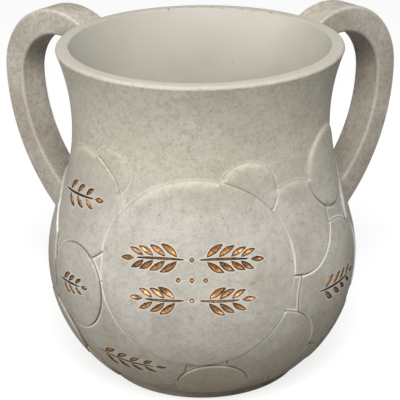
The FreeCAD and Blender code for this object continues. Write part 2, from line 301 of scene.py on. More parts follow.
# Leaves open by some degrees at the sprig's foot and less at its tip, where they are also shorter
# and narrower. The ends of a cut are pointed at 1 and rounder below.
LEAF_OPENING, LEAF_CLOSING, LEAF_CURL = 50, 8, 24
LEAF_SHORTENING, LEAF_NARROWING = 0.32, 0.25
LEAF_ENDS, STEM_ENDS, BERRY_ENDS = 0.8, 0.35, 0.5
LEAF_GAP = 0.95
FIRST_LEAF, LAST_LEAF = 0.6, 0.4
BUD_LENGTH, BUD_WIDTH = 0.62, 0.4
# On the front disc: height, length and pairs of leaves of the upper and the lower sprigs.
SPRAY_ROWS = ((6.4 * MM, 18 * MM, 4), (-8.8 * MM, 15 * MM, 3))
SPRAY_MIDDLE = -1.6 * MM
SPRAY_CENTRE = -1.2 * MM
SPRAY_GAP = 2.6 * MM
SPRAY_LIFT = 4
SPRAY_SIZE = 1.06
BERRY_ASIDE = 5 * MM


def spine(start, heading, length, bend, half_width, ends):
    """A cut from a start along a heading that bends on its way, and its half widths."""
    count = max(5, round(length / CUT_STATION))
    share = np.linspace(0, 1, count)
    turned = heading + bend * (share[:-1] + share[1:]) / 2
    step = length / (count - 1)
    across = start[0] + np.concatenate(([0], np.cumsum(np.cos(turned) * step)))
    up = start[1] + np.concatenate(([0], np.cumsum(np.sin(turned) * step)))
    widths = half_width * np.sin(share * math.pi) ** ends
    widths[[0, -1]] = 0
    return np.stack((across, up), 1), widths


def sprig(start, heading, length, bend, pairs, size=1.0):
    """The cuts of one sprig: a stem, leaves in pairs that shrink towards the tip, and one more."""
    heading, bend = math.radians(heading), math.radians(bend)
    stem, _ = spine(start, heading, length, bend, 0, 1)
    cuts = [spine(start, heading, length, bend, STEM_WIDTH / 2 * size, STEM_ENDS)]
    for pair in range(pairs):
        share = (pair + FIRST_LEAF) / (pairs + LAST_LEAF)
        root = stem[round(share * (len(stem) - 1))]
        here = heading + bend * share
        leaf = LEAF_LENGTH * size * (1 - LEAF_SHORTENING * share)
        half_width = LEAF_WIDTH * size / 2 * (1 - LEAF_NARROWING * share)
        for side in (1, -1):
            out = here + side * math.radians(LEAF_OPENING - LEAF_CLOSING * share)
            gap = STEM_WIDTH * size * LEAF_GAP
            foot = root + gap * np.array((math.cos(out), math.sin(out)))
            curl = -side * math.radians(LEAF_CURL)
            cuts.append(spine(foot, out, leaf, curl, half_width, LEAF_ENDS))
    last = heading + bend
    tip = stem[-1] + LEAF_WIDTH * size / 4 * np.array((math.cos(last), math.sin(last)))
    bud, half_width = LEAF_LENGTH * size * BUD_LENGTH, LEAF_WIDTH * size * BUD_WIDTH
    cuts.append(spine(tip, last, bud, 0, half_width, LEAF_ENDS))
    return cuts


def berry(across, up):
    return spine((across - BERRY_SIZE / 2, up), 0, BERRY_SIZE, 0, BERRY_SIZE / 2, BERRY_ENDS)


def front_spray():
    """Four sprigs that run out from the disc's middle, two above two, with berries between."""
    upper, lower = SPRAY_ROWS
    cuts = [berry(SPRAY_MIDDLE, up) for up in (upper[0], SPRAY_CENTRE, lower[0])]
    for side in (1, -1):
        for up, length, pairs in SPRAY_ROWS:
            lift = math.copysign(SPRAY_LIFT, up)
            heading = 90 - side * (90 - lift)
            start = (SPRAY_MIDDLE + side * SPRAY_GAP, up)
            cuts += sprig(start, heading, length, -side * 2 * lift, pairs, SPRAY_SIZE)
        cuts.append(berry(SPRAY_MIDDLE + side * BERRY_ASIDE, SPRAY_CENTRE))
    return cuts


# Each sprig has a start, a heading in degrees, a length, a bend in degrees, pairs and a size.
engraving = {
    "front_main": front_spray(),
    "left_shoulder": sprig((-15 * MM, 1.6 * MM), 2, 23 * MM, 8, 3, 1.05),
    "left_belly": sprig((-9.5 * MM, 0), 2, 15 * MM, 6, 3, 0.84),
    "left_low": sprig((-14.5 * MM, -8 * MM), -8, 26 * MM, 10, 4, 0.95),
    "right_belly": sprig((-15 * MM, 2.4 * MM), -6, 24 * MM, 6, 4, 0.98),
}

# Cup body, its mesh
# The wall is meshed flat, along the edges of the discs and the cuts, and rolled up with its relief.
# The rim, the lining's seat, the foot and the recess under it are turned round the cup's axis.

COLUMNS = 256
UNROLL_RADIUS = 56 * MM
ROW_STEP = 1.4 * MM
RING_STEP = 0.75 * MM
RING_SHARES = (-1.7, -1, -0.6, -0.28, 0, 0.28, 0.6, 1, 1.7)
CLEAR_SHARE = 2.1
WALL_INSET = 4.6 * MM
RIM_ROUNDING = 1.2 * MM
RIM_INNER_ROUNDING = 0.5 * MM
LINING_THICKNESS = 0.6 * MM
LINING_DROP = 0.6 * MM
FLOOR_HEIGHT = 8 * MM
FLOOR_ROUNDING = 9 * MM
FOOT_TOP = 4.8 * MM
FOOT_RADIUS = 40.8 * MM
FOOT_BOTTOM = 0.5 * MM
FOOT_ROUNDING = 0.8 * MM
RECESS_RADIUS = 36 * MM
RECESS_HEIGHT = 1.5 * MM
MARK_REACH = 3 * MM
CUT_CLEARANCE = 0.7
FOOT_ROWS = 4
SAME_PLACE = 1e-7
WELD_DISTANCE = 1e-6
CASTING_CORNER = 32

wall_start, wall_end = side_run(RELIEF_HIGH), side_run(RELIEF_LOW)


class Flat:
    """The unrolled wall under construction: points, edges and faces that its mesh has to keep."""

    def __init__(self):
        self.turns, self.runs, self.depths = [], [], []
        self.edges, self.faces = [], []

    def add(self, turn, run, depth=0.0):
        """Points, each with how deep a cut is there. Returns their numbers."""
        first = len(self.turns)
        self.turns.extend(turn)
        self.runs.extend(run)
        self.depths.extend(np.broadcast_to(depth, np.shape(turn)))
        return np.arange(first, len(self.turns))

    def chain(self, numbers):
        self.edges.extend(zip(numbers[:-1].tolist(), numbers[1:].tolist()))


def add_disc(flat, index, around):
    """The rings of points along a disc's edge, where nothing lies over it."""
    disc = discs[names[index]]
    count = round(2 * math.pi * disc.radius / RING_STEP)
    angle = np.arange(count) * 2 * math.pi / count
    cos, sin = np.cos(angle), np.sin(angle)
    points, outward = wall_point(*disc.on_wall(disc.radius * cos, disc.radius * sin))
    _, share, _ = disc.spread(points, outward)
    for ring in RING_SHARES:
        radius = disc.radius - ring * SHOULDER_WIDTH * share
        turn, run = disc.on_wall(radius * cos, radius * sin)
        inset, held = insets(turn, run)
        over = lies_over[:, index]
        kept = ~(held & over[:, None]).any(0)
        if ring:
            kept &= ~((np.abs(inset) < SHOULDER_WIDTH) & over[:, None]).any(0)
        kept &= (run > wall_start + SHOULDER_WIDTH) & (run < wall_end - SHOULDER_WIDTH)
        turn = turn + around
        kept &= np.abs(turn) < math.pi + 3 * RING_STEP / UNROLL_RADIUS
        if ring:
            flat.add(turn[kept], run[kept])
            continue
        joined = kept | np.roll(kept, 1) | np.roll(kept, -1)
        joined &= (run > wall_start + SHOULDER_WIDTH / 2) & (run < wall_end - SHOULDER_WIDTH / 2)
        numbers = np.full(count, -1)
        numbers[joined] = flat.add(turn[joined], run[joined])
        for here in range(count):
            there = (here + 1) % count
            if joined[here] and joined[there] and (kept[here] or kept[there]):
                flat.edges.append((int(numbers[here]), int(numbers[there])))


def add_cut(flat, disc, line, widths):
    """One V-cut: its outline, its deeper spine and a ring of points just outside its lip."""
    ahead = np.gradient(line, axis=0)
    ahead /= np.linalg.norm(ahead, axis=1)[:, None]
    aside = np.stack((-ahead[:, 1], ahead[:, 0]), 1)
    inner = slice(1, -1)
    middle = flat.add(*disc.on_wall(*line.T), depth=widths * CUT_SLOPE)
    for side in (1, -1):
        edge = line + side * widths[:, None] * aside
        numbers = flat.add(*disc.on_wall(*edge[inner].T))
        face = [middle[0], *numbers, *middle[:0:-1]]
        flat.faces.append([int(number) for number in face][::side])
        lip = edge + side * CUT_LIP * aside
        flat.add(*disc.on_wall(*lip.T))
    for end, way in ((0, -1), (-1, 1)):
        lip = line[end] + way * CUT_LIP * ahead[end]
        flat.add(*disc.on_wall(*lip[:, None]))


def distances(places, marks):
    """How far each place is from the nearest of some marks."""
    tree = KDTree(len(marks))
    for number, (across, down) in enumerate(marks):
        tree.insert((across, down, 0), number)
    tree.balance()
    return np.array([tree.find((across, down, 0))[2] for across, down in places])


def add_ground(flat, cut_places):
    """The even grid between the edges, and the border of the unrolled wall."""
    rows = round((wall_end - wall_start) / ROW_STEP)
    turns = np.linspace(-math.pi, math.pi, COLUMNS + 1)
    runs = np.linspace(wall_start, wall_end, rows + 1)
    for run in (wall_start, wall_end):
        flat.chain(flat.add(turns, np.full(len(turns), run)))
    for turn in (-math.pi, math.pi):
        flat.chain(flat.add(np.full(len(runs), turn), runs))
    turn, run = (grid.ravel() for grid in np.meshgrid(turns[1:-1], runs[1:-1]))
    _, own, beside = relief(turn, run)
    clear = np.minimum(own, beside) > CLEAR_SHARE * SHOULDER_WIDTH
    places = np.stack((turn * UNROLL_RADIUS, run), 1)
    clear &= distances(places, cut_places) > ROW_STEP * CUT_CLEARANCE
    flat.add(turn[clear], run[clear])


flat = Flat()
for index, disc in enumerate(discs.values()):
    for around in (-2 * math.pi, 0, 2 * math.pi):
        if abs(disc.turn + around) < math.pi * 1.5:
            add_disc(flat, index, around)
before_cuts = len(flat.turns)
for name, cuts in engraving.items():
    for line, widths in cuts:
        add_cut(flat, discs[name], line, widths)
cut_turns = np.array(flat.turns[before_cuts:])
cut_places = np.stack((cut_turns * UNROLL_RADIUS, flat.runs[before_cuts:]), 1)
add_ground(flat, cut_places)


def wall_mesh(flat):
    """Rolls the meshed wall up. Returns its points, faces, gilded faces and the points' marks."""
    unrolled = [(turn * UNROLL_RADIUS, run) for turn, run in zip(flat.turns, flat.runs)]
    places, _, faces, sources, _, face_sources = delaunay_2d_cdt(
        [Vector(place) for place in unrolled], flat.edges, flat.faces, 0, SAME_PLACE, True
    )
    places = np.array([tuple(place) for place in places])
    depth = np.array([max((flat.depths[number] for number in source), default=0)
                      for source in sources])
    turn, run = places[:, 0] / UNROLL_RADIUS, places[:, 1]
    kept, gilded = [], []
    for face, source in zip(faces, face_sources):
        middle = places[list(face)].mean(0)
        if abs(middle[0]) < math.pi * UNROLL_RADIUS and wall_start < middle[1] < wall_end:
            kept.append(tuple(face))
            gilded.append(bool(source))
    proud, own, beside = relief(turn, run)
    rims = places[sorted({number for face, gold in zip(kept, gilded) if gold for number in face})]
    near_cut = distances(places, rims)
    points, _ = wall_point(turn, run, proud - depth)
    marks = {"own_distance": own, "beside_distance": beside, "cut_distance": near_cut}
    marks = {mark: np.minimum(distance, MARK_REACH) for mark, distance in marks.items()}
    return points, kept, gilded, marks | {"cut_depth": depth}


def arc_points(centre, radius, first, last, count=6):
    """Points of a section's arc, in radians from level outwards."""
    return [(centre[0] + radius * math.cos(a), centre[1] + radius * math.sin(a))
            for a in np.linspace(first, last, count)]


def inset_corner(arc_centre, arc_radius, height):
    """Where an arc about the neck's or the belly's centre has some height: its reach and lean."""
    lean = math.asin((height - arc_centre[1]) / arc_radius)
    return arc_radius * math.cos(lean), lean


def rim_section():
    """From the top of the relief up over the rim and down the lining's seat to the axis."""
    points = []
    for run in np.arange(wall_start, RIM_ROUNDING, -ROW_STEP):
        radius, height, _ = side_line(run)
        points.append((float(radius), float(height)))
    reach, lean = inset_corner(neck_centre, NECK_ARC + RIM_ROUNDING, CUP_HEIGHT - RIM_ROUNDING)
    centre = (neck_centre.x - reach, CUP_HEIGHT - RIM_ROUNDING)
    points += arc_points(centre, RIM_ROUNDING, -lean, math.pi / 2)
    lip_arc = NECK_ARC + WALL_INSET + LINING_THICKNESS
    inner_height = CUP_HEIGHT - RIM_INNER_ROUNDING
    reach, lean = inset_corner(neck_centre, lip_arc - RIM_INNER_ROUNDING, inner_height)
    centre = (neck_centre.x - reach, inner_height)
    points += arc_points(centre, RIM_INNER_ROUNDING, math.pi / 2, math.pi - lean)
    seat_top = CUP_HEIGHT - LINING_DROP
    for arc in (lip_arc, NECK_ARC + WALL_INSET):
        points.append((neck_centre.x - inset_corner(neck_centre, arc, seat_top)[0], seat_top))
    for run in np.arange(0, wall_end, 3 * ROW_STEP):
        radius, height, lean = side_line(run)
        low = float(height - WALL_INSET * np.sin(lean))
        if FLOOR_HEIGHT + FLOOR_ROUNDING < low < seat_top - ROW_STEP:
            points.append((float(radius - WALL_INSET * np.cos(lean)), low))
    floor_arc = BELLY_ARC - WALL_INSET - FLOOR_ROUNDING
    reach, lean = inset_corner(belly_centre, floor_arc, FLOOR_HEIGHT + FLOOR_ROUNDING)
    centre = (belly_centre.x + reach, FLOOR_HEIGHT + FLOOR_ROUNDING)
    points += arc_points(centre, FLOOR_ROUNDING, lean, -math.pi / 2)
    return points + [(0, FLOOR_HEIGHT)]


def foot_section():
    """From the foot of the relief down the foot, under it and up into the recess to the axis."""
    points = []
    for run in np.linspace(wall_end, side_run(FOOT_TOP), FOOT_ROWS):
        radius, height, _ = side_line(run)
        points.append((float(radius), float(height)))
    points.append((FOOT_RADIUS, FOOT_TOP))
    corner = (FOOT_RADIUS - FOOT_ROUNDING, FOOT_BOTTOM + FOOT_ROUNDING)
    points += arc_points(corner, FOOT_ROUNDING, 0, -math.pi / 2)
    points += [(RECESS_RADIUS, FOOT_BOTTOM), (RECESS_RADIUS, RECESS_HEIGHT)]
    return points + [(0, RECESS_HEIGHT)]


def turned(section, columns):
    """Points and faces of a section turned about the axis, on which its last point lies."""
    turns = np.linspace(-math.pi, math.pi, columns, endpoint=False)
    *rings, (_, axis_height) = section
    points = [(radius * math.sin(turn), -radius * math.cos(turn), height)
              for radius, height in rings for turn in turns]
    faces = []
    for ring in range(len(rings) - 1):
        for column in range(columns):
            following = (column + 1) % columns
            a, b = ring * columns + column, ring * columns + following
            faces.append((a, b, b + columns, a + columns))
    last = len(points) - columns
    faces += [(last + column, last + (column + 1) % columns, len(points))
              for column in range(columns)]
    return points + [(0, 0, axis_height)], faces


def finished_mesh(name, points, faces, sharp_angle, marks=None, materials=None):
    """A closed mesh with its seams merged, its faces outwards and only its corners sharp."""
    mesh = bpy.data.meshes.new(name)
    mesh.from_pydata([tuple(point) for point in points], [], faces)
    for mark, values in (marks or {}).items():
        attribute = mesh.attributes.new(mark, "FLOAT", "POINT")
        attribute.data.foreach_set("value", np.asarray(values, dtype=np.float32))
    if materials is not None:
        mesh.polygons.foreach_set("material_index", materials)
    work = bmesh.new()
    work.from_mesh(mesh)
    bmesh.ops.remove_doubles(work, verts=work.verts, dist=WELD_DISTANCE)
    bmesh.ops.recalc_face_normals(work, faces=work.faces)
    for face in work.faces:
        face.smooth = True
    work.to_mesh(mesh)
    work.free()
    mesh.set_sharp_from_angle(angle=math.radians(sharp_angle))
    piece = bpy.data.objects.new(name, mesh)
    bpy.context.scene.collection.objects.link(piece)
    return piece


points, faces, gilded, marks = wall_mesh(flat)
points = list(points)
for section in (rim_section(), foot_section()):
    more_points, more_faces = turned(section, COLUMNS)
    faces += [tuple(number + len(points) for number in face) for face in more_faces]
    points += more_points
for mark, values in marks.items():
    beyond = 0 if mark == "cut_depth" else MARK_REACH
    marks[mark] = np.concatenate((values, np.full(len(points) - len(values), beyond)))
slots = [int(gold) for gold in gilded] + [0] * (len(faces) - len(gilded))
cup = finished_mesh("cup_casting", points, faces, CASTING_CORNER, marks, slots)

# Cup body, its finishes
# The bare resin is filled with stone meal: pale, cloudy, with fine hair-like marks and a few pits,
# under a brown wash that is rubbed off the edges, where a painted highlight is added. Painted
# shade, with the wash, lies along the discs' steep edges and towards the foot; painted light makes
# the neck lighter, and a painted highlight rings the cuts. The cuts are painted with bronze
# gilding, with painted shade where they are shallow.


class Value:
    """A socket that plain arithmetic works on. Each operation adds its Math node."""

    def __init__(self, finish, socket):
        self.finish = finish
        self.socket = socket

    def math(self, operation, first, second=0):
        return self.finish.node("ShaderNodeMath", {"operation": operation}, {0: first, 1: second})

    def __add__(self, other):
        return self.math("ADD", self, other)

    def __sub__(self, other):
        return self.math("SUBTRACT", self, other)

    def __rsub__(self, other):
        return self.math("SUBTRACT", other, self)

    def __mul__(self, other):
        return self.math("MULTIPLY", self, other)

    def __abs__(self):
        return self.math("ABSOLUTE", self)

    __radd__ = __add__
    __rmul__ = __mul__


def add_node(tree, kind, settings, sockets):
    """Adds a node: first its settings, then a value or a link for each of its sockets."""
    node = tree.nodes.new(kind)
    for setting, value in (settings or {}).items():
        setattr(node, setting, value)
    for socket, value in (sockets or {}).items():
        if isinstance(value, Value):
            value = value.socket
        if isinstance(value, bpy.types.NodeSocket):
            tree.links.new(value, node.inputs[socket])
        else:
            node.inputs[socket].default_value = value
    return node


class Finish:
    """A material under construction. What is the same all over it is set on its surface shader."""

    def __init__(self, name, **surface):
        self.material = bpy.data.materials.new(name)
        self.material.use_nodes = True
        self.tree = self.material.node_tree
        self.shader = self.tree.nodes["Principled BSDF"]
        for socket, value in surface.items():
            self.shader.inputs[socket.replace("_", " ")].default_value = value
        self.place = self.node("ShaderNodeTexCoord", output="Object")

    def node(self, kind, settings=None, sockets=None, output=0):
        node = add_node(self.tree, kind, settings, sockets)
        return Value(self, node.outputs[output])

    def noise(self, size, detail=3, warp=0.0, seed=0.0):
        """Cloudy noise with features of about some size."""
        shift = {0: self.place, 1: (seed,) * 3}
        place = self.node("ShaderNodeVectorMath", {"operation": "ADD"}, shift)
        sockets = {"Vector": place, "Scale": 1 / size, "Detail": detail, "Distortion": warp}
        return self.node("ShaderNodeTexNoise", None, sockets)

    def spots(self, size, edge, rarity):
        """Round spots in a few of many cells of some size."""
        cells = {"Vector": self.place, "Scale": 1 / size}
        distance = self.node("ShaderNodeTexVoronoi", None, cells)
        random_colour = self.node("ShaderNodeTexVoronoi", None, cells, "Color")
        chance = self.node("ShaderNodeSeparateColor", None, {0: random_colour})
        return (1 - self.step(distance, *edge)) * self.step(chance, *rarity)

    def step(self, value, low, high):
        """0 below one value, 1 above the other, with a soft slope between."""
        sockets = {"Value": value, "From Min": low, "From Max": high}
        return self.node("ShaderNodeMapRange", {"interpolation_type": "SMOOTHSTEP"}, sockets)

    def mix(self, share, first, second):
        """One colour over another."""
        sockets = {0: share, 6: first, 7: second}
        return self.node("ShaderNodeMix", {"data_type": "RGBA"}, sockets, 2)

    def mark(self, name):
        """A value that the mesh carries at its points."""
        return self.node("ShaderNodeAttribute", {"attribute_name": name}, output="Fac")

    def feed(self, socket, value):
        self.tree.links.new(value.socket, self.shader.inputs[socket])

    def bump(self, height, distance):
        sockets = {"Height": height, "Distance": distance, "Strength": 1.0}
        self.feed("Normal", self.node("ShaderNodeBump", None, sockets))


def colour(red, green, blue):
    """The linear colour of 8-bit screen values."""
    linear = [((value / 255 + 0.055) / 1.055) ** 2.4 for value in (red, green, blue)]
    return (*linear, 1.0)


PIT_BROWN = colour(96, 88, 78)
SMUDGE_BROWN = colour(158, 142, 116)
# Pale of the disc edges: the wash rubbed off, and a painted highlight on the edge.
WORN_AND_HIGHLIGHT_PALE = colour(234, 230, 220)
# Brown of the grooves, wash and painted shade there, and of the rim's chips.
GROOVE_SHADE_AND_CHIP_BROWN = colour(104, 94, 80)
# A painted highlight round the cuts.
CUT_HIGHLIGHT_PALE = colour(226, 221, 210)
# Brown wash with painted shade, for the lower belly.
FOOT_WASH_AND_SHADE = colour(172, 150, 106)
# Painted light that makes the neck lighter.
NECK_PAINTED_LIGHT = colour(246, 241, 214)
RIM_GREY = colour(193, 189, 177)
# Each span is where a mark of the finish fades, by distance or by height.
WORN_AND_HIGHLIGHT_SPAN = (0.55 * MM, 1.05 * MM)
GROOVE_WASH_AND_SHADE_SPAN = (0.15 * MM, 0.5 * MM)
CUT_HIGHLIGHT_SPAN = (0.1 * MM, 0.8 * MM)
FOOT_SPAN = (2 * MM, 46 * MM)
NECK_SPAN = (84 * MM, 104 * MM)
RIM_SPAN = (CUP_HEIGHT - 0.9 * MM, CUP_HEIGHT - 0.15 * MM)
CHIP_SPAN = (0.2 * MM, 0.6 * MM)


def stone_finish(name, pale, dark, wash, wash_share):
    """Stone-look resin: clouds, mottles, fine hair-like marks, pits, and a wash left in patches."""
    finish = Finish(name, Roughness=0.72, Specular_IOR_Level=0.35)
    clouds = finish.noise(20 * MM, detail=3)
    mottles = finish.noise(2.4 * MM, detail=6, seed=3.0)
    grains = finish.noise(0.8 * MM, detail=4, seed=31.0)
    shade = finish.step(clouds * 0.4 + mottles * 0.3 + grains * 0.3, 0.34, 0.66)
    base = finish.mix(shade, dark, pale)
    hairs = 0
    for size, seed in ((2.6 * MM, 7.0), (3.6 * MM, 13.0)):
        bent = finish.noise(size, detail=3, warp=2.0, seed=seed)
        here = finish.step(finish.noise(3.2 * MM, seed=seed + 4), 0.48, 0.6)
        hairs = (1 - finish.step(abs(bent - 0.5), 0.008, 0.035)) * here + hairs
    base = finish.mix(hairs * 0.5, base, wash)
    stain = finish.step(finish.noise(24 * MM, detail=6, seed=23.0), 0.42, 0.66)
    base = finish.mix(stain * wash_share, base, wash)
    pits = finish.spots(2.6 * MM, (0.06, 0.13), (0.84, 0.88))
    base = finish.mix(pits * 0.75, base, PIT_BROWN)
    relief = mottles * 0.5 + grains * 0.35 - hairs * 0.2 - pits * 0.8
    return finish, base, relief


def smudged(finish, base, share):
    """Warm smudges of the wash, a few millimetres wide."""
    smudges = finish.step(finish.noise(2 * MM, detail=5, warp=1.2, seed=51.0), 0.5, 0.62)
    return finish.mix(smudges * share, base, SMUDGE_BROWN)


casting, base, rough = stone_finish(
    "stone_resin", colour(208, 203, 192), colour(182, 177, 166), colour(158, 146, 128), 0.3
)
height = casting.node("ShaderNodeSeparateXYZ", None, {0: casting.place}, "Z")
high = casting.step(height, WIDENING_FOOT, WIDENING_FOOT + WIDENING_RUN)
worn_and_highlit = 1 - casting.step(casting.mark("beside_distance"), *WORN_AND_HIGHLIGHT_SPAN)
wash_and_shade_in_groove = 1 - casting.step(casting.mark("own_distance"), *GROOVE_WASH_AND_SHADE_SPAN)
cut_highlight = 1 - casting.step(casting.mark("cut_distance"), *CUT_HIGHLIGHT_SPAN)
on_foot = 1 - casting.step(height, *FOOT_SPAN)
on_neck = casting.step(height, *NECK_SPAN)
on_rim = casting.step(height, *RIM_SPAN)
# Beside each disc's edge the wash is rubbed off, and a painted highlight stands for the lit edge.
base = casting.mix(worn_and_highlit * (0.95 - high * 0.6), base, WORN_AND_HIGHLIGHT_PALE)
# Along each disc's own steep edge: brown wash left in the groove, and painted shade.
base = casting.mix(wash_and_shade_in_groove * (0.85 - high * 0.6), base, GROOVE_SHADE_AND_CHIP_BROWN)
# A painted highlight rings each cut.
base = casting.mix(cut_highlight * 0.6, base, CUT_HIGHLIGHT_PALE)
# Painted shade with a brown wash, stronger towards the foot.
base = casting.mix(on_foot * 0.4, base, FOOT_WASH_AND_SHADE)
# Painted light: the neck is made lighter.
base = casting.mix(on_neck * 0.28, base, NECK_PAINTED_LIGHT)
base = smudged(casting, base, on_neck * 0.3)
base = casting.mix(on_rim * 0.85, base, RIM_GREY)
level_place = casting.node("ShaderNodeVectorMath", {"operation": "MULTIPLY"},
                           {0: casting.place, 1: (1, 1, 0)})
axis_distance = casting.node("ShaderNodeVectorMath", {"operation": "LENGTH"},
                             {0: level_place}, "Value")
lip_reach, _ = inset_corner(neck_centre, NECK_ARC + WALL_INSET + LINING_THICKNESS, CUP_HEIGHT)
corner_distance = abs(axis_distance - (neck_centre.x - lip_reach))
on_corner = on_rim * (1 - casting.step(corner_distance, *CHIP_SPAN))
chips = casting.step(casting.noise(2.2 * MM, detail=4, seed=41.0), 0.60, 0.64)
base = casting.mix(on_corner * chips * 0.8, base, GROOVE_SHADE_AND_CHIP_BROWN)
casting.feed("Base Color", base)
casting.bump(rough * (1 - on_rim * 0.8), 0.12 * MM)

gilding = Finish("gilding", Metallic=0.7)
speckle = gilding.noise(0.9 * MM, detail=4)
gold = gilding.mix(gilding.step(speckle, 0.35, 0.7), colour(190, 142, 90), colour(240, 196, 144))
tarnish = gilding.step(gilding.noise(1.6 * MM, seed=5.0), 0.52, 0.68)
gold = gilding.mix(tarnish * 0.6, gold, colour(92, 60, 30))
# Painted shade: where a cut is shallow, at its edges and in the small sprigs, the gold turns dark
# brown.
deep = gilding.step(gilding.mark("cut_depth"), 0.1 * MM, 0.65 * MM)
gold = gilding.mix(deep, colour(74, 46, 22), gold)
gilding.feed("Base Color", gold)
gilding.feed("Roughness", 0.3 + speckle * 0.3)
gilding.bump(speckle, 0.08 * MM)

cup.data.materials.append(casting.material)
cup.data.materials.append(gilding.material)
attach(cup, "root")
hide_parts("cup_body")

# Inner lining
# A thin smooth liner, sprayed cream, that ends just below the rim, under the casting's narrow lip.
# It is the turned shell that the cup's seat was made for, so only its finish is added.

lining = Finish("cream_lining", Roughness=0.42, Specular_IOR_Level=0.45)
haze = lining.noise(30 * MM, detail=2)
cream = lining.mix(lining.step(haze, 0.35, 0.65), colour(197, 193, 181), colour(204, 200, 188))
specks = lining.spots(7 * MM, (0.04, 0.07), (0.93, 0.95))
cream = lining.mix(specks * 0.6, cream, colour(120, 112, 98))
lining.feed("Base Color", cream)
lining.bump(lining.noise(1.2 * MM), 0.02 * MM)
frame["nodes"]["inner_lining"].data.materials.clear()
frame["nodes"]["inner_lining"].data.materials.append(lining.material)

# Handles
# Two flat straps with softened edges, cast in the same resin and bonded to the neck and the belly.
# A strap follows two lines, its outer side and the side round the fingers, and is swept back.

BACK_TURN = 38.0
STRAP_WIDTH = 14.5 * MM
STRAP_ROUNDING = 1.3 * MM
STRAP_SIDE = 10.2 * MM
STRAP_TOP = 10.6 * MM
CROWN_REACH = 71.5 * MM
CROWN_HEIGHT = 108.7 * MM
CROWN_RADIUS = 30.1 * MM
CROWN_ROOT_TURN = 120
DROP_RADIUS = 81.9 * MM
FINGER_RADIUS = 21.7 * MM
FINGER_ROOT_TURN = 130
FINGER_DROP_RADIUS = 60.8 * MM
SUNK = 2 * MM
ROOT_ROWS = 6
ARC_ROWS = 60
ROUNDING_STEPS = 5
SOFT_CORNER = 40
CORNER_SPAN = (1.5 * MM, 0.3 * MM)
AT_POINTS = {"data_type": "FLOAT_VECTOR", "domain": "POINT"}


def strap_line(reach, height, crown_radius, drop_radius, root_turn):
    """One long side of a strap: straight out of the neck, over the crown and down the drop."""
    lean = math.radians(root_turn)
    top = (reach + crown_radius * math.cos(lean), height + crown_radius * math.sin(lean))
    root = WAIST_RADIUS + SUNK
    root_height = top[1] + (top[0] - root) / math.tan(lean)
    line = [(root + (top[0] - root) * share, root_height + (top[1] - root_height) * share)
            for share in np.linspace(0, 1, ROOT_ROWS, endpoint=False)]
    line += arc_points((reach, height), crown_radius, lean, 0, ARC_ROWS)[:-1]
    drop = reach + crown_radius - drop_radius
    heel_turn = math.acos((BELLY_RADIUS - 2 * SUNK - drop) / drop_radius)
    line += arc_points((drop, height), drop_radius, 0, -heel_turn, ARC_ROWS)
    return [(radius, 0, height) for radius, height in line]


def strap_curve(name):
    """Both long sides of a strap, as two lines with as many points."""
    outer = strap_line(CROWN_REACH, CROWN_HEIGHT, CROWN_RADIUS, DROP_RADIUS, CROWN_ROOT_TURN)
    inner = strap_line(CROWN_REACH + CROWN_RADIUS - STRAP_SIDE - FINGER_RADIUS,
                       CROWN_HEIGHT + CROWN_RADIUS - STRAP_TOP - FINGER_RADIUS,
                       FINGER_RADIUS, FINGER_DROP_RADIUS, FINGER_ROOT_TURN)
    curve = bpy.data.curves.new(name, "CURVE")
    curve.dimensions = "3D"
    for line in (outer, inner):
        spline = curve.splines.new("POLY")
        spline.points.add(len(line) - 1)
        for point, place in zip(spline.points, line):
            point.co = (*place, 1)
    return curve


class Recipe:
    """A Geometry Nodes tree under construction, with named inputs."""

    def __init__(self, name, inputs):
        self.tree = bpy.data.node_groups.new(name, "GeometryNodeTree")
        self.tree.is_modifier = True
        self.new_socket("Geometry", "Geometry")
        self.ids = {label: self.new_socket(label, kind) for label, kind in inputs.items()}
        self.new_socket("Geometry", "Geometry", "OUTPUT")
        self.given = self.tree.nodes.new("NodeGroupInput").outputs

    def new_socket(self, label, kind, in_out="INPUT"):
        """Gives the tree an input or output, and returns the name it is set by."""
        kind = "NodeSocket" + kind
        return self.tree.interface.new_socket(label, in_out=in_out, socket_type=kind).identifier

    def node(self, kind, settings=None, sockets=None, output=0):
        return add_node(self.tree, kind, settings, sockets).outputs[output]

    def math(self, operation, first, second=0.0):
        return self.node("ShaderNodeMath", {"operation": operation}, {0: first, 1: second})

    def vector(self, operation, first, second):
        return self.node("ShaderNodeVectorMath", {"operation": operation}, {0: first, 1: second})

    def scaled(self, vector, factor):
        sockets = {0: vector, "Scale": factor}
        return self.node("ShaderNodeVectorMath", {"operation": "SCALE"}, sockets)

    def sampled(self, geometry, vector, index):
        """A vector at one point of a geometry."""
        sockets = {0: geometry, "Value": vector, "Index": index}
        return self.node("GeometryNodeSampleIndex", AT_POINTS, sockets)

    def finish(self, geometry, material):
        """Ends the tree in real geometry with its material."""
        real = self.node("GeometryNodeRealizeInstances", None, {0: geometry})
        dressed = self.node("GeometryNodeSetMaterial", None, {0: real, "Material": material})
        end = self.tree.nodes.new("NodeGroupOutput")
        self.tree.links.new(dressed, end.inputs[0])
        return self.tree


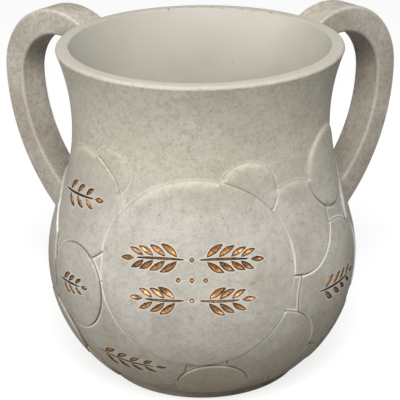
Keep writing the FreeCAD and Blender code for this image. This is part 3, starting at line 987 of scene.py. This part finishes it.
def strap_recipe():
    """Sweeps a rounded bar between two long sides and turns it about the cup's axis."""
    recipe = Recipe("strap_handle", {
        "Strap Width": "Float", "Strap Thickness": "Float", "Rounding": "Float",
        "Rounding Steps": "Int", "Turn": "Float", "Finish": "Material"})
    given = recipe.given
    bar = recipe.node("GeometryNodeCurvePrimitiveQuadrilateral", None,
                      {"Width": given["Strap Width"], "Height": given["Strap Thickness"]})
    fillet = {"Curve": bar, "Radius": given["Rounding"], "Count": given["Rounding Steps"]}
    bar = recipe.node("GeometryNodeFilletCurve", {"mode": "POLY"}, fillet)
    size = {"component": "CURVE"}
    spokes = recipe.node("GeometryNodeAttributeDomainSize", size, {0: bar})
    stations = recipe.node("GeometryNodeAttributeDomainSize", size, {0: given["Geometry"]})
    rings = recipe.math("DIVIDE", stations, 2.0)
    tube = recipe.node("GeometryNodeMeshCylinder", {"fill_type": "NGON"},
                       {"Vertices": spokes, "Side Segments": recipe.math("SUBTRACT", rings, 1.0)})
    index = recipe.node("GeometryNodeInputIndex")
    ring = recipe.math("FLOOR", recipe.math("DIVIDE", index, spokes))
    spoke = recipe.math("MODULO", index, spokes)
    position = recipe.node("GeometryNodeInputPosition")
    outer = recipe.sampled(given["Geometry"], position, ring)
    inner = recipe.sampled(given["Geometry"], position, recipe.math("ADD", ring, rings))
    section = recipe.sampled(bar, position, spoke)
    across = recipe.node("ShaderNodeSeparateXYZ", None, {0: section}, "X")
    out = recipe.node("ShaderNodeSeparateXYZ", None, {0: section}, "Y")
    share = recipe.math("DIVIDE", out, given["Strap Thickness"])
    middle = recipe.scaled(recipe.vector("ADD", outer, inner), 0.5)
    outwards = recipe.scaled(recipe.vector("SUBTRACT", outer, inner), share)
    sideways = recipe.node("ShaderNodeCombineXYZ", None, {"Y": across})
    place = recipe.vector("ADD", recipe.vector("ADD", middle, outwards), sideways)
    marked = recipe.node("GeometryNodeStoreNamedAttribute", AT_POINTS,
                         {0: tube, "Name": "section_place", "Value": section})
    placed = recipe.node("GeometryNodeSetPosition", None, {0: marked, "Position": place})
    rotation = recipe.node("ShaderNodeCombineXYZ", None, {"Z": given["Turn"]})
    swept = recipe.node("GeometryNodeTransform", None, {0: placed, "Rotation": rotation})
    return recipe.finish(swept, given["Finish"]), recipe.ids


def made_by_recipe(name, curve, recipe, values):
    """Runs a recipe on a curve and keeps the plain mesh that comes out."""
    tree, ids = recipe
    source = bpy.data.objects.new(name + "_lines", curve)
    bpy.context.scene.collection.objects.link(source)
    modifier = source.modifiers.new("recipe", "NODES")
    modifier.node_group = tree
    for label, value in values.items():
        modifier[ids[label]] = value
    graph = bpy.context.evaluated_depsgraph_get()
    mesh = bpy.data.meshes.new_from_object(source.evaluated_get(graph))
    source.modifiers.remove(modifier)
    bpy.data.objects.remove(source)
    return mesh


strap_cast, base, rough = stone_finish(
    "handle_resin", colour(211, 205, 193), colour(180, 172, 159), colour(150, 138, 121), 0.35
)
base = smudged(strap_cast, base, 0.4)
section_place = strap_cast.node("ShaderNodeAttribute", {"attribute_name": "section_place"},
                                output="Vector")
# The straps' rounded corners are paler: worn, and a painted highlight.
worn_and_highlit = 1
for axis, size in (("X", STRAP_WIDTH), ("Y", STRAP_SIDE)):
    off_middle = abs(strap_cast.node("ShaderNodeSeparateXYZ", None, {0: section_place}, axis))
    span = (size / 2 - inset for inset in CORNER_SPAN)
    worn_and_highlit = strap_cast.step(off_middle, *span) * worn_and_highlit
base = strap_cast.mix(worn_and_highlit * 0.3, base, colour(222, 217, 206))
strap_cast.feed("Base Color", base)
strap_cast.bump(rough, 0.14 * MM)
strap = strap_recipe()
for name, turn in (("right_handle", BACK_TURN), ("left_handle", 180 - BACK_TURN)):
    mesh = made_by_recipe(name, strap_curve(name), strap, {
        "Strap Width": STRAP_WIDTH, "Strap Thickness": STRAP_SIDE, "Rounding": STRAP_ROUNDING,
        "Rounding Steps": ROUNDING_STEPS, "Turn": math.radians(turn),
        "Finish": strap_cast.material})
    work = bmesh.new()
    work.from_mesh(mesh)
    bmesh.ops.recalc_face_normals(work, faces=work.faces)
    for face in work.faces:
        face.smooth = True
    work.to_mesh(mesh)
    work.free()
    mesh.set_sharp_from_angle(angle=math.radians(SOFT_CORNER))
    handle = bpy.data.objects.new(name + "_strap", mesh)
    bpy.context.scene.collection.objects.link(handle)
    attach(handle, "root")
    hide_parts(name)

# Base pad
# A soft foam disc with a dull skin, stuck in the recess of the foot. It stands a little proud, so
# that the cup rests on it.

PAD_RADIUS = 35.7 * MM
PAD_ROUNDING = 0.4 * MM
PAD_COLUMNS = 96

corner = (PAD_RADIUS - PAD_ROUNDING, PAD_ROUNDING)
pad_section = [(PAD_RADIUS, RECESS_HEIGHT)]
pad_section += arc_points(corner, PAD_ROUNDING, 0, -math.pi / 2, 5)
top_points, top_faces = turned(pad_section[::-1] + [(0, RECESS_HEIGHT)], PAD_COLUMNS)
low_points, low_faces = turned([pad_section[-1], (0, 0)], PAD_COLUMNS)
low_faces = [tuple(number + len(top_points) for number in face) for face in low_faces]
pad = finished_mesh("foam_pad", top_points + low_points, top_faces + low_faces, SOFT_CORNER)
foam = Finish("pad_foam", Roughness=0.95, Specular_IOR_Level=0.2)
pores = foam.noise(0.7 * MM, detail=3)
skin = foam.mix(foam.step(pores, 0.4, 0.6), colour(40, 39, 37), colour(72, 70, 67))
foam.feed("Base Color", skin)
foam.bump(pores, 0.15 * MM)
pad.data.materials.append(foam.material)
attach(pad, "root")
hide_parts("base_pad")

# Floor
# A plain pale table top under soft light. To the camera it is white, but for the cup's shadow.

FLOOR_SIZE = 3.0
FLOOR_GREY = (0.3, 0.3, 0.3, 1)
FLOOR_GLOW = 0.8
WHITE = (1, 1, 1, 1)

floor_mesh = bpy.data.meshes.new("floor")
half = FLOOR_SIZE / 2
corners = [(-half, -half, 0), (half, -half, 0), (half, half, 0), (-half, half, 0)]
floor_mesh.from_pydata(corners, [], [(0, 1, 2, 3)])
floor = bpy.data.objects.new("floor", floor_mesh)
bpy.context.scene.collection.objects.link(floor)
table = Finish("pale_table", Roughness=0.9, Base_Color=FLOOR_GREY)
seen = table.node("ShaderNodeLightPath", output="Is Camera Ray")
glow = table.node("ShaderNodeEmission", None, {"Color": WHITE, "Strength": FLOOR_GLOW})
lit = Value(table, table.shader.outputs[0])
both = table.node("ShaderNodeAddShader", None, {0: lit, 1: glow})
shown = table.node("ShaderNodeMixShader", None, {0: seen, 1: lit, 2: both})
table.tree.links.new(shown.socket, table.tree.nodes["Material Output"].inputs[0])
floor_mesh.materials.append(table.material)

# Light and camera
# A wide soft key light high in front, a weaker one from the left and another from the upper right,
# and the camera where the photograph was taken from, looking down into the cup.

# The lens's focal length is in pixels of the photograph, and the camera's turns are in radians.
LENS_PIXELS = 1387.1
SENSOR = 36.0
PHOTO_WIDTH = 400
CAMERA_DISTANCE = 520 * MM
CAMERA_HEIGHT = 288.7 * MM
CAMERA_DOWN = 0.39933
CAMERA_ASIDE = 0.00122
CAMERA_ROLL = -0.010564
LAMP_SIZE = 0.6
LAMPS = {
    "key_light": ((0, -0.7, 1.0), 13.9),
    "left_fill": ((-1.0, -0.35, 0.45), 3.6),
    "right_fill": ((0.7, -0.15, 1.0), 1.6),
}
ROOM_LEVEL = 0.08

camera_data = bpy.data.cameras.new("photo_camera")
camera_data.sensor_width = SENSOR
camera_data.lens = LENS_PIXELS / PHOTO_WIDTH * SENSOR
camera = bpy.data.objects.new("photo_camera", camera_data)
bpy.context.scene.collection.objects.link(camera)
camera.matrix_world = (
    Matrix.Translation((0, -CAMERA_DISTANCE, CAMERA_HEIGHT))
    @ Matrix.Rotation(CAMERA_ASIDE, 4, "Z")
    @ Matrix.Rotation(math.pi / 2 - CAMERA_DOWN, 4, "X")
    @ Matrix.Rotation(CAMERA_ROLL, 4, "Z")
)
bpy.context.scene.camera = camera

for name, (place, power) in LAMPS.items():
    lamp_data = bpy.data.lights.new(name, "AREA")
    lamp_data.size = LAMP_SIZE
    lamp_data.energy = power
    lamp = bpy.data.objects.new(name, lamp_data)
    bpy.context.scene.collection.objects.link(lamp)
    lamp.location = place
    to_cup = Vector((0, 0, CUP_HEIGHT / 2)) - lamp.location
    lamp.rotation_euler = to_cup.to_track_quat("-Z", "Y").to_euler()

room = bpy.data.worlds.new("room")
room.use_nodes = True
bpy.context.scene.world = room
nodes, links = room.node_tree.nodes, room.node_tree.links
lighting = nodes["Background"]
lighting.inputs["Color"].default_value = WHITE
lighting.inputs["Strength"].default_value = ROOM_LEVEL
backdrop = nodes.new("ShaderNodeBackground")
backdrop.inputs["Color"].default_value = WHITE
ray = nodes.new("ShaderNodeLightPath")
switch = nodes.new("ShaderNodeMixShader")
links.new(ray.outputs["Is Camera Ray"], switch.inputs[0])
links.new(lighting.outputs[0], switch.inputs[1])
links.new(backdrop.outputs[0], switch.inputs[2])
links.new(switch.outputs[0], nodes["World Output"].inputs[0])

bpy.context.scene.view_settings.view_transform = "Standard"
